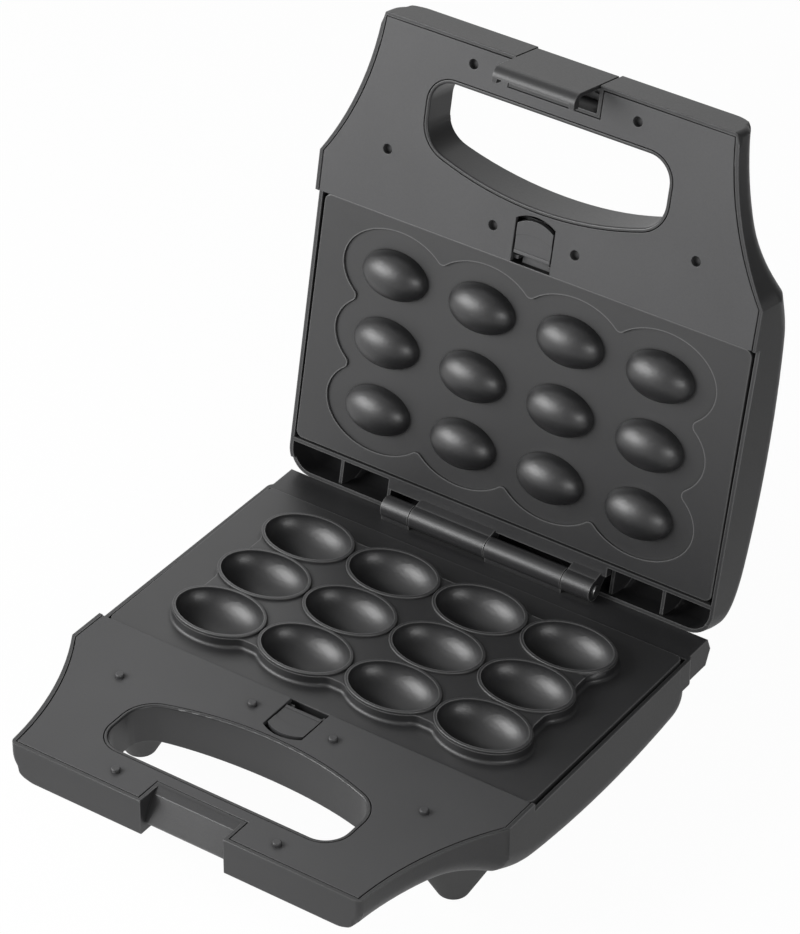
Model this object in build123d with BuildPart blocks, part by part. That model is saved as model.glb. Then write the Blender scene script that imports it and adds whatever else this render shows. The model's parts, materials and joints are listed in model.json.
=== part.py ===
from build123d import *

import os

# Multi snack maker: a hinged counter-top cooker with exchangeable baking plates.
#
# The lower half carries twelve oval cups and the lid twelve matching domes. Each half is a thin moulded
# casing with a waisted handle, a D-shaped grip hole, an inner handle panel, a heater in a heat tray, a
# baking plate and a sliding plate catch. The halves turn on a four-knuckle barrel hinge, and a hooked
# latch on the lid snaps under a ledge in the notch of the lower handle.
#
# Millimetres. X runs along the hinge, -Y points to the handles and +Z is up. Everything is drawn with
# the lid shut and the middle of the cups at Y = 0, and heights are given as depths from the closing
# plane into either half. Last of all the lid is opened as far as its stop, and the maker is moved along
# Y so that the origin lies under the middle of its box.

BASE, LID = -1, 1

# Cup pattern
cup_columns, cup_rows = 4, 3
cup_pitch_x, cup_pitch_y = 45.0, 32.2

# Closing plane and the depths measured from it
closing_z = 52.0
handle_face_depth = 0.6
rim_depth = 4.3
handle_bottom_depth = 18.1
belly_depth = 38.0

# Casing seen from above
front_y = -149.0
rear_half_width = 110.4
waist_y, waist_bulge = -78.0, 1.0
waist_mid_y, waist_hollow = -113.4, 16.6
handle_taper = 22.4
wall = 1.8
edge_radius = 12.0

# Casing seen from the side
underside_end_y, underside_end_depth = -106.0, 18.5
belly_front_y, belly_front_depth = -58.0, 34.0
belly_low_y = 4.0
belly_rear_y, belly_rear_depth = 50.0, 34.5
base_rear_y, base_rear_bend_depth = 64.0, 19.0
lid_rear_y, lid_rear_bend_depth = 77.6, 12.0
lid_stop_y, lid_stop_depth = 76.7, 5.6
lid_stop_front_y = 70.0

# Plates
rim_width = 2.4
plate_front_y, plate_rear_y = -57.9, 59.2
plate_corner_radius = 3.5
plate_thickness = 2.4
plate_skirt, plate_skirt_wall = 7.0, 2.0
base_plate_depth, lid_plate_depth = 2.9, 4.3
plate_ledge_gap = 0.1
ledge_width, ledge_thickness, ledge_length = 4.6, 2.0, 18.0
ledge_y = 35.0

# Lower plate
plateau_height = 4.6
plateau_half_x, plateau_half_y = 22.5, 16.3
plateau_fill_x, plateau_fill_y = 84.5, 42.0
plateau_valley_radius = 6.0
plateau_foot_radius = 1.5
lip_height, lip_edge_radius = 1.1, 0.45
lip_half_x, lip_half_y = 22.3, 15.95
cup_half_x, cup_half_y, cup_depth = 20.7, 14.6, 12.0
cup_wall = 2.2

# Upper plate
pocket_depth, pocket_margin = 1.0, 2.0
pocket_half_x, pocket_half_y = 27.2, 20.1
pocket_fill_x, pocket_fill_y = 80.0, 40.0
pocket_valley_radius = 3.0
dome_half_x, dome_half_y, dome_height = 16.5, 11.1, 10.0
dome_wall = 2.4

# Handle panels
seam_y = -59.3
seam_gap = 0.35
cover_thickness = 2.2
bulkhead_y, bulkhead_thickness = -61.6, 1.8
grip_half_width = 61.3
grip_front_y, grip_side_y, grip_back_y = -129.4, -97.0, -84.6
grip_front_radius, grip_back_radius = 13.0, 16.0
collar_wall = 1.6
collar_edge_radius = 0.9

# Notch for the latch, with the ramp and ledge that the hook snaps under
notch_half_width = 20.8
notch_back_y = -136.5
ramp_top_y, ramp_top_depth = -140.3, 2.2
ramp_nose_y, ledge_depth = -146.7, 13.4
ledge_back_y = -141.5
lid_notch_depth = 14.4

# Pins of the lower panel and the sockets that take them in the upper one
pin_places = ((40.6, -139.1), (77.3, -89.0), (20.6, -72.5))
pin_radius, pin_height, pin_edge_radius = 1.9, 1.6, 0.5
socket_radius, socket_depth, socket_wall = 2.2, 2.4, 1.0

# Screws that hold each panel from outside, through a post of the casing
screw_places = ((62.0, -140.0), (48.0, -72.0))
post_radius, boss_radius = 4.6, 3.2
post_top_depth, screw_seat_depth = 9.1, 12.6
boss_gap = 0.1
screw_shank_radius, screw_head_radius, screw_head_height = 1.5, 2.9, 1.8
screw_hole_radius, screw_well_radius = 1.7, 3.3
screw_core_radius = 1.55
screw_tip_depth = 4.6

# Plate catches
catch_travel, catch_end_gap = 2.0, 0.2
opening_half_width = 9.8
button_half_width, button_straight_y, button_end_y = 9.1, -77.6, -80.6
button_rear_y = -64.0
button_sink = 0.2
step_depth, step_rear_y, step_straight_y, step_end_y = 0.25, -65.6, -71.0, -74.2
slide_half_width, slide_thickness = 12.6, 1.8
slide_straight_y, slide_end_y, slide_rear_y = -75.6, -79.6, -62.9
slide_gap = 0.3
nose_half_width, nose_rear_y, nose_gap = 7.0, -58.6, 0.3
nose_drop, nose_riser = 2.8, 1.6
catch_tab_half_width, catch_tab_rear_y, catch_tab_front_y, catch_tab_drop = 3.0, -66.0, -67.6, 5.6
spring_seat_y, spring_seat_wall, spring_seat_half_width = -78.4, 1.6, 12.0
spring_half_span, spring_thickness, spring_height = 10.0, 0.4, 4.0
spring_gap = 0.1

# Lugs of a plate, under the nose of its catch and in the wall behind it
lug_half_width, lug_thickness = 7.0, 1.6
front_lug_reach = 2.4
rear_lug_x, rear_lug_reach, rear_lug_depth = 74.0, 3.6, 8.0
rear_lug_slack = 0.4

# Hinge
hinge_y, hinge_z = 72.8, 52.8
barrel_radius = 5.0
barrel_half_length, outer_knuckle_length = 54.4, 14.4
knuckle_gap = 0.4
hinge_pin_radius, hinge_pin_clearance = 1.8, 0.05
hinge_head_radius, hinge_head_length, hinge_head_gap = 2.8, 1.2, 0.1
base_web_front, base_web_rear = 3.9, 3.2
lid_web_front, lid_web_depth = 5.4, 10.0
hinge_block_half_width, hinge_block_rear_y, hinge_block_depth = 57.0, 66.6, 14.0
hinge_block_wall = 2.0
open_angle = 102.2

# Rear deck of the base and rear trough of the lid
deck_inset = 1.4
deck_front_y, deck_edge_y, deck_rear_y = 60.0, 77.0, 79.4
deck_shoulder_depth, deck_bottom_depth, deck_bottom_y = 10.4, 17.4, 76.0
deck_wall = 2.2
deck_corner_length, deck_corner_radius = 24.0, 4.0
trough_front_y = 60.2
trough_rib_depth, trough_rib_thickness = 8.0, 1.6
trough_rib_places = (58.4, 84.0)

# Heat trays and heaters
tray_margin_x, tray_margin_y, tray_corner_radius = 13.0, 7.5, 12.0
tray_depth, tray_edge_depth, tray_sheet, tray_flange = 22.5, 15.0, 0.8, 3.0
tray_post_places = ((62.0, 42.0),)
tray_post_radius, tray_screw_length = 3.6, 8.0
heater_radius, heater_depth = 3.2, 12.5
heater_bend_margin, heater_end_margin = 21.0, 5.0
cold_pin_radius, cold_pin_length = 1.2, 11.0
bracket_places = (-45.0, 45.0)
bracket_width, bracket_wall, bracket_foot = 7.0, 0.9, 6.0
bracket_gap = 0.05

# Controls inside the base
thermostat_x, thermostat_y = 12.0, 0.0
thermostat_radius, thermostat_height, thermostat_cap_radius = 8.5, 5.0, 6.0
fuse_x, fuse_y, fuse_radius, fuse_length = -8.0, -38.0, 2.2, 14.0
terminal_x, terminal_y = -30.0, 28.0
terminal_length, terminal_width, terminal_height, terminal_depth = 28.0, 16.0, 7.0, 25.0
terminal_ways = 3

# Cord inlet in the rear wall
gland_from_side, gland_depth = 38.4, 24.2
gland_bore_radius, gland_body_radius, gland_flange_radius = 3.2, 4.6, 6.2
gland_flange, gland_front_y, gland_rear_y = 1.6, 54.0, 64.4
gland_boss_radius, gland_gap = 7.2, 0.1
gland_snap_radius, gland_snap_length = 5.4, 1.4

# Lamps on the outside of the lid
lamp_places = (-9.0, 9.0)
lamp_y, lamp_seat_depth = -42.0, 34.8
lamp_barrel_radius, lamp_flange_radius, lamp_flange, lamp_dome = 3.6, 4.6, 0.8, 1.6
lamp_barrel_end_depth, lamp_gap = 29.0, 0.1
holder_half_length, holder_half_width, holder_depth, holder_height = 17.0, 6.4, 26.0, 5.5

# Feet
foot_from_side, foot_y = {"front": 29.6, "rear": 26.4}, {"front": -72.8, "rear": 38.0}
foot_peg_tops = {"front": 28.0, "rear": 21.0}
foot_bottom_radius, foot_flare = 6.3, 0.545
foot_edge_radius, foot_seat_gap = 3.0, 0.1
foot_peg_radius = 3.4

# Latch
latch_half_width, latch_thickness = 20.3, 2.0
latch_top_depth, latch_hook_gap, latch_hook_height = 16.4, 0.5, 4.0
latch_hook_y, latch_bend_radius = -144.2, 4.6
latch_tooth_y, latch_tooth_width = -142.1, 2.6
latch_stop_half_width, latch_stop_top, latch_stop_end, latch_stop_gap = 1.5, 3.0, 8.0, 0.2
latch_pin_y, latch_pin_depth = -143.4, 11.6
latch_pin_radius, latch_pin_clearance = 1.25, 0.05
latch_ear_x, latch_ear_width, latch_ear_radius = 15.0, 3.0, 2.8
latch_pin_overhang = 1.2

# Lengths that only have to reach past the maker
beyond = 20.0
through = 160.0

# Sizes that follow from the ones above
cover_back_depth = handle_face_depth + cover_thickness
slide_depth = cover_back_depth + slide_gap
nose_depth = slide_depth + nose_drop
front_lug_depth = nose_depth + slide_thickness + nose_gap
hinge_depth = hinge_z - closing_z
waist_half_width = rear_half_width + waist_bulge
waist_mid_x = waist_half_width - waist_hollow
handle_half_width = rear_half_width - handle_taper
plate_half_width = rear_half_width - rim_width
deck_half_width = rear_half_width - deck_inset
plate_middle_y = (plate_front_y + plate_rear_y) / 2
plate_length = plate_rear_y - plate_front_y
casing_inner_half_width = rear_half_width - wall
tray_half_x = plate_half_width - tray_margin_x
tray_half_y = plate_length / 2 - tray_margin_y
heater_bend_x = heater_bend_margin - tray_half_x
heater_end_x = tray_half_x - heater_end_margin
gland_x = gland_from_side - rear_half_width
foot_places = {row: (rear_half_width - foot_from_side[row], foot_y[row]) for row in foot_y}
foot_top_z = closing_z - handle_bottom_depth
hook_depth = ledge_depth + latch_hook_gap
opening_straight_y = button_straight_y - catch_travel - catch_end_gap
opening_end_y = button_end_y - catch_travel - catch_end_gap


def level(side, depth):
    """Height of a plane that lies this deep in the lower half or in the lid."""
    return closing_z + side * depth


def plan_plane(side, depth):
    """Plane across Z at a depth in either half."""
    return Plane.XY.offset(level(side, depth))


def side_plane(side, x=0.0):
    """Plane across X whose local axes are Y and the depth in that half."""
    return Plane(origin=(x, 0, closing_z), x_dir=(0, 1, 0), z_dir=(side, 0, 0))


def mirrored(places):
    """Each place and its mirror image about the middle of the maker."""
    return [(hand * x, y) for x, y in places for hand in (-1, 1)]


def cross_bar(side, points, low_x, high_x):
    """Bar along X whose section is a polygon of (y, depth) points in one half."""
    with BuildPart() as bar:
        with BuildSketch(side_plane(side, (low_x + high_x) / 2)):
            with BuildLine():
                Polyline(points, close=True)
            make_face()
        extrude(amount=(high_x - low_x) / 2, both=True)
    return bar.part


def columns(side, places, radius, low_depth, high_depth):
    """Round posts, or the cutters of round holes, between two depths."""
    with BuildPart() as group:
        with BuildSketch(plan_plane(side, low_depth)):
            with Locations(*places):
                Circle(radius)
        extrude(amount=side * (high_depth - low_depth))
    return group.part


def cap(half_x, half_y, depth):
    """Lower half of an ellipsoid, flat side up at Z = 0."""
    with BuildPart() as form:
        Sphere(1.0, arc_size2=0, align=(Align.CENTER, Align.CENTER, Align.MAX))
        scale(by=(half_x, half_y, depth))
    return form.part


def plan_outline(rear_y, inset=0.0):
    """One half seen from above: oblong body behind a handle with hollow flanks."""
    rear = (rear_half_width - inset, rear_y - inset)
    waist = (waist_half_width - inset, waist_y)
    handle = (handle_half_width - inset, front_y + inset)
    with BuildSketch() as outline:
        with BuildLine():
            Polyline((0, rear[1]), rear, waist)
            ThreePointArc(waist, (waist_mid_x - inset, waist_mid_y + inset / 2), handle)
            Line(handle, (0, handle[1]))
            mirror(about=Plane.YZ)
        make_face()
    return outline.sketch


def side_outline(side, inset=0.0):
    """One half seen from the side: flat handle, S-bend, bellied body and rounded rear."""
    if side == BASE:
        bend = (base_rear_y - inset, base_rear_bend_depth)
        rear_lean = 0.0
    else:
        bend = (lid_rear_y - inset, lid_rear_bend_depth)
        rear_lean = (lid_rear_y - lid_stop_y) / (lid_rear_bend_depth - lid_stop_depth)
    with BuildSketch() as outline:
        with BuildLine():
            front = Line((front_y + inset, -beyond), (front_y + inset, handle_bottom_depth - inset))
            underside = Line(front @ 1, (underside_end_y, underside_end_depth - inset))
            belly = ThreePointArc(
                (belly_front_y, belly_front_depth - inset),
                (belly_low_y, belly_depth - inset),
                (belly_rear_y - inset / 2, belly_rear_depth - inset),
            )
            Spline(underside @ 1, belly @ 0, tangents=(underside % 1, belly % 0))
            rear = Line(bend, (bend[0] - rear_lean * (bend[1] + beyond), -beyond))
            Spline(belly @ 1, rear @ 0, tangents=(belly % 1, rear % 0))
            Line(rear @ 1, front @ 0)
        make_face()
    return outline.sketch


def half_body(side, inset=0.0):
    """The rounded block that a casing is hollowed from or, inset, the hollow itself."""
    rear_y = base_rear_y if side == BASE else lid_rear_y
    with BuildPart() as body:
        with BuildSketch(side_plane(side)):
            add(side_outline(side, inset))
        extrude(amount=through, both=True)
        with BuildSketch(plan_plane(side, -beyond - wall)):
            add(plan_outline(rear_y, inset))
        extrude(amount=side * through, mode=Mode.INTERSECT)
        flank = []
        for edge in body.edges():
            middle = edge.center()
            upright = abs((edge @ 1 - edge @ 0).normalized().Z) > 0.9 and middle.Y < 0
            below_top = side * (middle.Z - closing_z) > inset - beyond + 1
            if abs(middle.X) > grip_half_width + beyond / 2 and middle.Y > front_y + inset + 1:
                if below_top and not upright:
                    flank.append(edge)
        fillet(flank, edge_radius - inset)
    return body.part


def rear_corners(inset):
    """Squarer corners that take the rear of the plate into the body of the lower casing."""
    rear_y = base_rear_y - inset
    with BuildPart() as corners:
        with BuildSketch(plan_plane(BASE, -beyond)):
            with Locations((0, rear_y - deck_corner_length / 2)):
                RectangleRounded(
                    2 * (rear_half_width - inset), deck_corner_length, deck_corner_radius - inset
                )
        extrude(amount=BASE * (deck_bottom_depth - inset + beyond))
    return corners.part


def grip_outline(grow=0.0):
    """The D of the grip hole, as it is cut in the handle panel."""
    with BuildSketch() as outline:
        with BuildLine():
            Polyline(
                (-grip_half_width, grip_side_y),
                (-grip_half_width, grip_front_y),
                (grip_half_width, grip_front_y),
                (grip_half_width, grip_side_y),
            )
            ThreePointArc((grip_half_width, grip_side_y), (0, grip_back_y), (-grip_half_width, grip_side_y))
        make_face()
        corners = outline.vertices().group_by(Axis.Y)
        fillet(corners[0], grip_front_radius)
        corners = outline.vertices().filter_by(lambda vertex: abs(vertex.Y - grip_side_y) < 0.1)
        fillet(corners, grip_back_radius)
        if grow:
            offset(amount=grow)
    return outline.sketch


def catch_outline(half_width, straight_y, end_y, rear_y):
    """The D of a catch: square towards the plate, bowed towards the grip hole."""
    with BuildSketch() as outline:
        with BuildLine():
            Polyline(
                (-half_width, straight_y), (-half_width, rear_y), (half_width, rear_y), (half_width, straight_y)
            )
            ThreePointArc((half_width, straight_y), (0, end_y), (-half_width, straight_y))
        make_face()
    return outline.sketch


def notch_space(side, half_width, grow=0.0):
    """The space of the latch notch, open to the front and through the outer skin."""
    deep = handle_bottom_depth + beyond
    if side == BASE:
        inner = [
            (notch_back_y, handle_face_depth),
            (ramp_top_y, ramp_top_depth),
            (ramp_nose_y, ledge_depth),
            (ledge_back_y, ledge_depth),
        ]
    else:
        inner = [(notch_back_y, lid_notch_depth), (ledge_back_y, lid_notch_depth)]
    with BuildPart() as space:
        with BuildSketch(side_plane(side)):
            with BuildLine():
                Polyline(
                    [(front_y - beyond, -beyond), (notch_back_y, -beyond)]
                    + inner
                    + [(ledge_back_y, deep), (front_y - beyond, deep)],
                    close=True,
                )
            make_face()
            if grow:
                offset(amount=grow, kind=Kind.INTERSECTION)
        extrude(amount=half_width, both=True)
    return space.part


def casing(side):
    """What both casings share: shell, rim, grip collar, notch, bulkhead, posts and plate ledges."""
    block = half_body(side)
    hollow = half_body(side, wall)
    if side == BASE:
        block += rear_corners(0)
        hollow += rear_corners(wall)
    posts = mirrored(screw_places)
    tray_posts = [(x, hand * y) for x, y in mirrored(tray_post_places) for hand in (-1, 1)]
    plate_depth = base_plate_depth if side == BASE else lid_plate_depth
    ledge_depth_here = plate_depth + plate_thickness + plate_skirt + plate_ledge_gap
    face_z = level(side, handle_face_depth)

    with BuildPart() as fittings:
        with BuildSketch(plan_plane(side, handle_face_depth)):
            add(grip_outline(-seam_gap))
        extrude(amount=side * through)
        add(notch_space(side, notch_half_width + wall, wall))
        with BuildSketch(plan_plane(side, cover_back_depth)):
            with Locations((0, bulkhead_y)):
                Rectangle(through * 2, bulkhead_thickness)
        extrude(amount=side * through)
        add(columns(side, posts, post_radius, post_top_depth, through))
        add(columns(side, tray_posts, tray_post_radius, tray_depth + tray_sheet, through))
        with BuildSketch(plan_plane(side, slide_depth + slide_thickness + slide_gap)):
            with Locations((0, spring_seat_y - spring_seat_wall / 2)):
                Rectangle(2 * spring_seat_half_width, spring_seat_wall)
        extrude(amount=side * through)
        with BuildSketch(plan_plane(side, ledge_depth_here)):
            with GridLocations(2 * casing_inner_half_width, 2 * ledge_y, 2, 2):
                Rectangle(2 * ledge_width, ledge_length)
        extrude(amount=side * ledge_thickness)
        add(block, mode=Mode.INTERSECT)

    with BuildPart() as shell:
        add(block)
        add(hollow, mode=Mode.SUBTRACT)
        add(fittings.part)
        # Rims: the handle stands higher than the rim around the plate
        rim = [(front_y - beyond, -beyond - wall), (front_y - beyond, handle_face_depth)]
        rim += [(seam_y, handle_face_depth), (seam_y, rim_depth)]
        if side == BASE:
            rim += [(lid_rear_y + beyond, rim_depth), (lid_rear_y + beyond, -beyond - wall)]
        else:
            rim += [(lid_stop_front_y, rim_depth), (lid_stop_front_y, lid_stop_depth)]
            rim += [(lid_rear_y + beyond, lid_stop_depth), (lid_rear_y + beyond, -beyond - wall)]
        add(cross_bar(side, rim, -through, through), mode=Mode.SUBTRACT)
        # Grip hole, latch notch and the slot for the nose of the catch
        with BuildSketch(plan_plane(side, -beyond)):
            add(grip_outline(-seam_gap - collar_wall))
        extrude(amount=side * through, mode=Mode.SUBTRACT)
        collar = [
            face
            for face in shell.faces()
            if abs(face.center().Z - face_z) < seam_gap / 2
            and face.inner_wires()
            and face.bounding_box().size.X < 2 * grip_half_width
        ]
        fillet(collar[0].inner_wires()[0].edges(), collar_edge_radius)
        add(notch_space(side, notch_half_width), mode=Mode.SUBTRACT)
        with BuildSketch(plan_plane(side, handle_face_depth)):
            with Locations((0, bulkhead_y)):
                Rectangle(2 * (nose_half_width + seam_gap), 2 * bulkhead_thickness)
        extrude(amount=side * (front_lug_depth - handle_face_depth), mode=Mode.SUBTRACT)
        # Wells and holes for the screws of the panel and of the heat tray
        add(columns(side, posts, screw_well_radius, screw_seat_depth, through), mode=Mode.SUBTRACT)
        add(columns(side, posts, screw_hole_radius, 0, through), mode=Mode.SUBTRACT)
        add(
            columns(side, tray_posts, screw_core_radius, 0, tray_depth + tray_screw_length + 1),
            mode=Mode.SUBTRACT,
        )
    return shell.part


def plate_blank(side, depth):
    """Flat plate with rounded corners, a skirt and its lugs, before its cups or domes."""
    with BuildPart() as blank:
        with BuildSketch(plan_plane(side, depth)):
            with Locations((0, plate_middle_y)):
                RectangleRounded(2 * plate_half_width, plate_length, plate_corner_radius)
        extrude(amount=side * (plate_thickness + plate_skirt))
        with BuildSketch(plan_plane(side, depth + plate_thickness)):
            with Locations((0, plate_middle_y)):
                RectangleRounded(
                    2 * (plate_half_width - plate_skirt_wall),
                    plate_length - 2 * plate_skirt_wall,
                    plate_corner_radius - plate_skirt_wall,
                )
        extrude(amount=side * plate_skirt, mode=Mode.SUBTRACT)
        with BuildSketch(plan_plane(side, front_lug_depth)):
            with Locations((0, plate_front_y - (front_lug_reach - plate_skirt_wall) / 2)):
                Rectangle(2 * lug_half_width, front_lug_reach + plate_skirt_wall)
        extrude(amount=side * lug_thickness)
        with BuildSketch(plan_plane(side, rear_lug_depth)):
            with Locations(*mirrored([(rear_lug_x, plate_rear_y + (rear_lug_reach - plate_skirt_wall) / 2)])):
                Rectangle(2 * lug_half_width, rear_lug_reach + plate_skirt_wall)
        extrude(amount=side * lug_thickness)
    return blank.part


def rear_lug_slots(side, wall_y):
    """Cutter for the slots that take the rear lugs of a plate."""
    depth = rear_lug_depth - rear_lug_slack
    with BuildPart() as slots:
        with BuildSketch(plan_plane(side, depth)):
            with Locations(*mirrored([(rear_lug_x, wall_y)])):
                Rectangle(2 * (lug_half_width + rear_lug_slack), 2 * rear_lug_reach)
        extrude(amount=side * (lug_thickness + 2 * rear_lug_slack))
    return slots.part


def scalloped_outline(half_x, half_y, fill_x, fill_y, valley_radius):
    """Outline around the whole group of cups: a bulge for each outer cup and rounded valleys."""
    with BuildSketch() as outline:
        Rectangle(2 * fill_x, 2 * fill_y)
        with GridLocations(cup_pitch_x, cup_pitch_y, cup_columns, cup_rows):
            Ellipse(half_x, half_y)
        rows = [(row - (cup_rows - 1) / 2) * cup_pitch_y for row in range(cup_rows)]
        valleys = [
            vertex for vertex in outline.vertices() if min(abs(vertex.Y - row) for row in rows) > 0.1
        ]
        fillet(valleys, valley_radius)
    return outline.sketch


def faceted_cap(half_x, half_y, depth, neck=0.0, top_share=0.0, bottom_share=0.94, steps=3):
    """Stepped form of a cap for the hidden side of a plate, with a straight neck above it."""
    with BuildPart() as form:
        if neck:
            with BuildSketch(Plane.XY.offset(neck)):
                Ellipse(half_x, half_y)
        for step in range(steps + 1):
            share = top_share + (bottom_share - top_share) * step / steps
            width = (1 - share**2) ** 0.5
            with BuildSketch(Plane.XY.offset(-depth * share / bottom_share)):
                Ellipse(half_x * width, half_y * width)
        loft(ruled=True)
    return form.part


def handle_cover(side):
    """Inner panel of a handle, set into the rim of the casing."""
    with BuildPart() as cover:
        with BuildSketch(plan_plane(side, handle_face_depth)):
            add(plan_outline(base_rear_y, wall + seam_gap))
            with Locations((0, seam_y + through / 2)):
                Rectangle(2 * through, through, mode=Mode.SUBTRACT)
            add(grip_outline(), mode=Mode.SUBTRACT)
            with Locations((0, notch_back_y + wall + seam_gap - beyond)):
                Rectangle(2 * (notch_half_width + wall + seam_gap), 2 * beyond, mode=Mode.SUBTRACT)
            opening = catch_outline(opening_half_width, opening_straight_y, opening_end_y, seam_y + wall)
            add(opening, mode=Mode.SUBTRACT)
        extrude(amount=side * cover_thickness)
        add(columns(side, mirrored(screw_places), boss_radius, cover_back_depth, post_top_depth - boss_gap))
        bores = columns(side, mirrored(screw_places), screw_core_radius, screw_tip_depth - 1, post_top_depth)
        add(bores, mode=Mode.SUBTRACT)
    return cover.part


def catch(side):
    """Plate catch: button, slide, nose over the lug of the plate and tab for the spring."""
    button_depth = handle_face_depth + button_sink
    with BuildPart() as piece:
        with BuildSketch(plan_plane(side, slide_depth)):
            add(catch_outline(slide_half_width, slide_straight_y, slide_end_y, slide_rear_y))
        extrude(amount=side * slide_thickness)
        nose = [
            (slide_rear_y - nose_riser, slide_depth),
            (slide_rear_y, slide_depth),
            (slide_rear_y, nose_depth),
            (nose_rear_y, nose_depth),
            (nose_rear_y, nose_depth + slide_thickness),
            (slide_rear_y - nose_riser, nose_depth + slide_thickness),
        ]
        add(cross_bar(side, nose, -nose_half_width, nose_half_width))
        with BuildSketch(plan_plane(side, button_depth)):
            add(catch_outline(button_half_width, button_straight_y, button_end_y, button_rear_y))
        extrude(amount=side * (slide_depth - button_depth))
        with BuildSketch(plan_plane(side, button_depth)):
            add(catch_outline(button_half_width + wall, step_straight_y, step_end_y, step_rear_y))
        extrude(amount=side * step_depth, mode=Mode.SUBTRACT)
        tab_middle_y = (catch_tab_rear_y + catch_tab_front_y) / 2
        with BuildSketch(plan_plane(side, slide_depth + slide_thickness)):
            with Locations((0, tab_middle_y)):
                Rectangle(2 * catch_tab_half_width, catch_tab_rear_y - catch_tab_front_y)
        extrude(amount=side * catch_tab_drop)
    return piece.part


def catch_spring(side):
    """Bowed leaf spring between the tab of a catch and its seat in the casing."""
    crown_y = catch_tab_front_y - spring_gap
    foot_y = spring_seat_y + spring_gap
    with BuildPart() as leaf:
        with BuildSketch(plan_plane(side, slide_depth + slide_thickness + catch_tab_drop - spring_height)):
            with BuildLine():
                bow = ThreePointArc(
                    (-spring_half_span, foot_y), (0, crown_y - spring_thickness / 2), (spring_half_span, foot_y)
                )
                offset(bow, amount=spring_thickness / 2, side=Side.BOTH)
            make_face()
            with Locations((0, foot_y - beyond)):
                Rectangle(2 * through, 2 * beyond, mode=Mode.SUBTRACT)
        extrude(amount=side * spring_height)
    return leaf.part


def heater(side):
    """Tubular heater: one hairpin between the rows of cups, with a cold pin at each end."""
    leg_y = cup_pitch_y / 2
    with BuildPart() as tube:
        with BuildLine(plan_plane(side, heater_depth)):
            Line((heater_end_x, leg_y), (heater_bend_x, leg_y))
            ThreePointArc((heater_bend_x, leg_y), (heater_bend_x - leg_y, 0), (heater_bend_x, -leg_y))
            Line((heater_bend_x, -leg_y), (heater_end_x, -leg_y))
        middle = Plane(origin=(heater_end_x, leg_y, level(side, heater_depth)), z_dir=(-1, 0, 0))
        with BuildSketch(middle):
            Circle(heater_radius)
        sweep()
        ends = Plane(origin=(heater_end_x, 0, level(side, heater_depth)), x_dir=(0, 1, 0), z_dir=(1, 0, 0))
        with BuildSketch(ends):
            with Locations((-leg_y, 0), (leg_y, 0)):
                Circle(cold_pin_radius)
        extrude(amount=cold_pin_length)
    return tube.part


def heater_bracket(side, x):
    """Sheet bracket on the floor of the tray, with a ring around each leg of the heater."""
    leg_y = cup_pitch_y / 2
    bore = heater_radius + bracket_gap
    with BuildPart() as bracket:
        with BuildSketch(side_plane(side, x)):
            with Locations((-leg_y, heater_depth), (leg_y, heater_depth)):
                Circle(bore + bracket_wall)
            with Locations(*[(hand * leg_y, (heater_depth + tray_depth) / 2) for hand in (-1, 1)]):
                Rectangle(bracket_wall, tray_depth - heater_depth)
            with Locations((0, tray_depth - bracket_wall / 2)):
                Rectangle(2 * (leg_y + bracket_foot), bracket_wall)
            with Locations((-leg_y, heater_depth), (leg_y, heater_depth)):
                Circle(bore, mode=Mode.SUBTRACT)
        extrude(amount=bracket_width / 2, both=True)
    return bracket.part


def heat_tray(side):
    """Pressed sheet tray behind a plate, with a flange around its edge."""
    with BuildPart() as tray:
        with BuildSketch(plan_plane(side, tray_edge_depth)):
            with Locations((0, plate_middle_y)):
                RectangleRounded(
                    2 * (tray_half_x + tray_flange), 2 * (tray_half_y + tray_flange), tray_corner_radius + tray_flange
                )
        extrude(amount=side * tray_sheet)
        with BuildSketch(plan_plane(side, tray_edge_depth)):
            with Locations((0, plate_middle_y)):
                RectangleRounded(2 * tray_half_x, 2 * tray_half_y, tray_corner_radius)
        extrude(amount=side * (tray_depth + tray_sheet - tray_edge_depth))
        with BuildSketch(plan_plane(side, tray_edge_depth)):
            with Locations((0, plate_middle_y)):
                RectangleRounded(
                    2 * (tray_half_x - tray_sheet), 2 * (tray_half_y - tray_sheet), tray_corner_radius - tray_sheet
                )
        extrude(amount=side * (tray_depth - tray_edge_depth), mode=Mode.SUBTRACT)
        places = [(x, hand * y) for x, y in mirrored(tray_post_places) for hand in (-1, 1)]
        add(columns(side, places, screw_hole_radius, tray_depth, tray_depth + tray_sheet), mode=Mode.SUBTRACT)
    return tray.part


def screw(side, place, seat_depth, tip_depth):
    """Pan-head screw whose head rests at one depth and whose tip points to another."""
    direction = 1 if tip_depth > seat_depth else -1
    with BuildPart() as item:
        with BuildSketch(plan_plane(side, seat_depth)):
            with Locations(place):
                Circle(screw_head_radius)
        extrude(amount=-side * direction * screw_head_height)
        with BuildSketch(plan_plane(side, seat_depth)):
            with Locations(place):
                Circle(screw_shank_radius)
        extrude(amount=side * (tip_depth - seat_depth))
        head_rim = item.edges().filter_by(GeomType.CIRCLE).sort_by(Axis.Z)
        head_rim = head_rim[-1] if side * direction < 0 else head_rim[0]
        chamfer(head_rim, screw_head_height / 3)
    return item.part


def knuckle(x_from, x_to):
    """Length of the hinge barrel."""
    with BuildPart() as barrel:
        with BuildSketch(Plane(origin=(x_from, hinge_y, hinge_z), x_dir=(0, 1, 0), z_dir=(1, 0, 0))):
            Circle(barrel_radius)
        extrude(amount=x_to - x_from)
    return barrel.part


# The two knuckles of each half, from left to right: base, lid, base, lid
outer_start = barrel_half_length - outer_knuckle_length
base_knuckles = ((-barrel_half_length, -outer_start), (knuckle_gap / 2, outer_start - knuckle_gap))
lid_knuckles = ((-outer_start + knuckle_gap, -knuckle_gap / 2), (outer_start, barrel_half_length))
hinge_axis_plane = Plane(origin=(0, hinge_y, hinge_z), x_dir=(0, 1, 0), z_dir=(1, 0, 0))

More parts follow.
